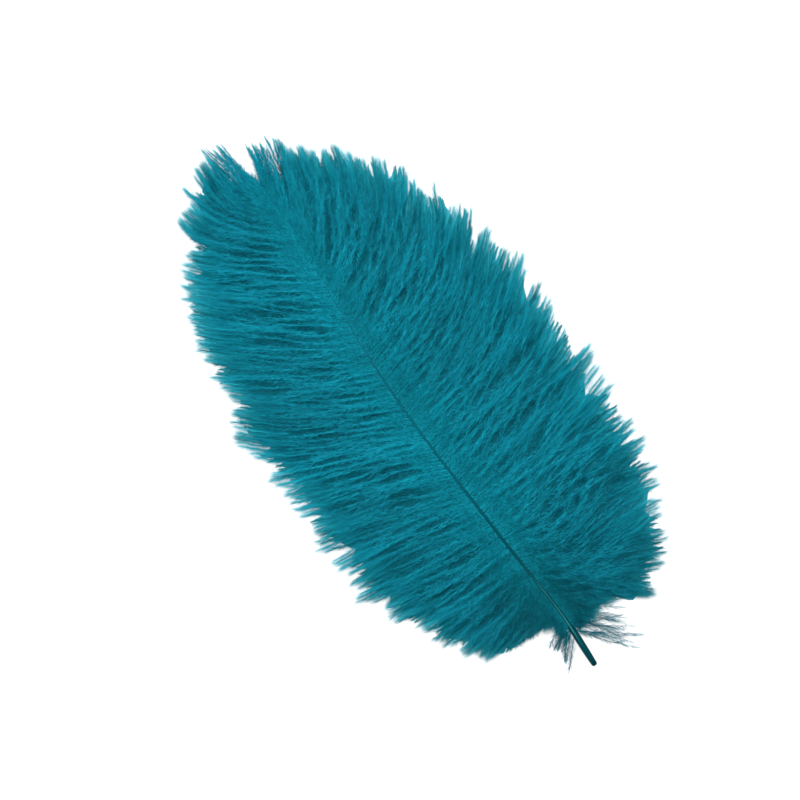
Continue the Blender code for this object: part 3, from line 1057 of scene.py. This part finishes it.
def round_and_along(point):
    """Turn round the shaft, from 0 at its underside to 0.5 on top, and station along it."""
    station = (point.y - QUILL_Y) / FEATHER_LENGTH
    aside = point.x - float(shaft_x(station))
    level = point.z - float(arch_z(station)) - 0.95 * float(shaft_half_width(station))
    return (math.atan2(aside, -level) / math.tau) % 1.0, min(1.0, max(0.0, station))


def build_shaft(material):
    """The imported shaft, its loose facets merged and smoothed, with a map that runs round it and along it."""
    mesh = bmesh.new()
    mesh.from_mesh(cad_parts["shaft"].data)
    bmesh.ops.remove_doubles(mesh, verts=mesh.verts, dist=FACET_GAP)
    layer = mesh.loops.layers.uv.new("OFBake")
    for face in mesh.faces:
        places = [round_and_along(loop.vert.co) for loop in face.loops]
        crosses_seam = max(place[0] for place in places) - min(place[0] for place in places) > 0.5
        for loop, (turn, station) in zip(face.loops, places):
            if crosses_seam and turn < 0.5:
                turn += 1.0
            loop[layer].uv = (SEAM_ROOM * turn, station)
    data = bpy.data.meshes.new("shaft_skin")
    mesh.to_mesh(data)
    mesh.free()
    data.shade_smooth()
    data.set_sharp_from_angle(angle=SHARP_EDGE)
    data.materials.append(material)
    piece = bpy.data.objects.new("shaft_skin", data)
    bpy.context.scene.collection.objects.link(piece)
    finish_piece(piece, "shaft")


streaks = dye_streaks_group()
barb_finish = dyed_barb_material(streaks)
for number, vane in enumerate(VANES):
    build_vane(vane, barb_finish, np.random.default_rng(SEED + number))
build_shaft(shaft_material(streaks))


# ---------------------------------------------------------------- studio
WORLD_LIGHT = 0.82
LAMP_SIZE = 0.9
LAMP_ENERGY = 30.0
LAMP_PLACE = (0.22, 0.50, 1.6)
LENS_LENGTH = 85.0
VIEW_WIDTH = 357.3 * MM
VIEW_TURN = math.radians(-34.5)
CENTRE_ASIDE = 87.5 * MM
CENTRE_ABOVE = 118.8 * MM
FOCUS_HEIGHT = 4.0 * MM


def studio():
    """A pale floor, even white light all round, and one large soft lamp."""
    bpy.ops.mesh.primitive_plane_add(size=6.0, location=(0.0, 0.0, 0.0))
    floor = bpy.context.object
    floor.name = "floor"
    floor.data.materials.append(floor_material())
    world = bpy.data.worlds.new("studio")
    bpy.context.scene.world = world
    world.use_nodes = True
    world.node_tree.nodes["Background"].inputs["Color"].default_value = (1.0, 1.0, 1.0, 1.0)
    world.node_tree.nodes["Background"].inputs["Strength"].default_value = WORLD_LIGHT
    lamp = bpy.data.lights.new("soft box", "AREA")
    lamp.shape = "DISK"
    lamp.size = LAMP_SIZE
    lamp.energy = LAMP_ENERGY
    box = bpy.data.objects.new("soft box", lamp)
    box.location = LAMP_PLACE
    box.rotation_euler = (-Vector(box.location)).to_track_quat("-Z", "Y").to_euler()
    bpy.context.scene.collection.objects.link(box)


def camera():
    """A long lens straight above, turned so that the feather lies from lower right to upper left."""
    lens = bpy.data.cameras.new("camera")
    lens.lens = LENS_LENGTH
    distance = VIEW_WIDTH * lens.lens / lens.sensor_width
    across = Vector((math.cos(VIEW_TURN), math.sin(VIEW_TURN), 0.0))
    up = Vector((-math.sin(VIEW_TURN), math.cos(VIEW_TURN), 0.0))
    quill = Vector((float(shaft_x(0.0)), QUILL_Y, 0.0))
    centre = quill - CENTRE_ASIDE * across + CENTRE_ABOVE * up
    eye = bpy.data.objects.new("camera", lens)
    eye.location = centre + Vector((0.0, 0.0, distance + FOCUS_HEIGHT))
    eye.rotation_euler = (0.0, 0.0, VIEW_TURN)
    bpy.context.scene.collection.objects.link(eye)
    bpy.context.scene.camera = eye


studio()
camera()
bpy.context.scene.view_settings.view_transform = "Standard"
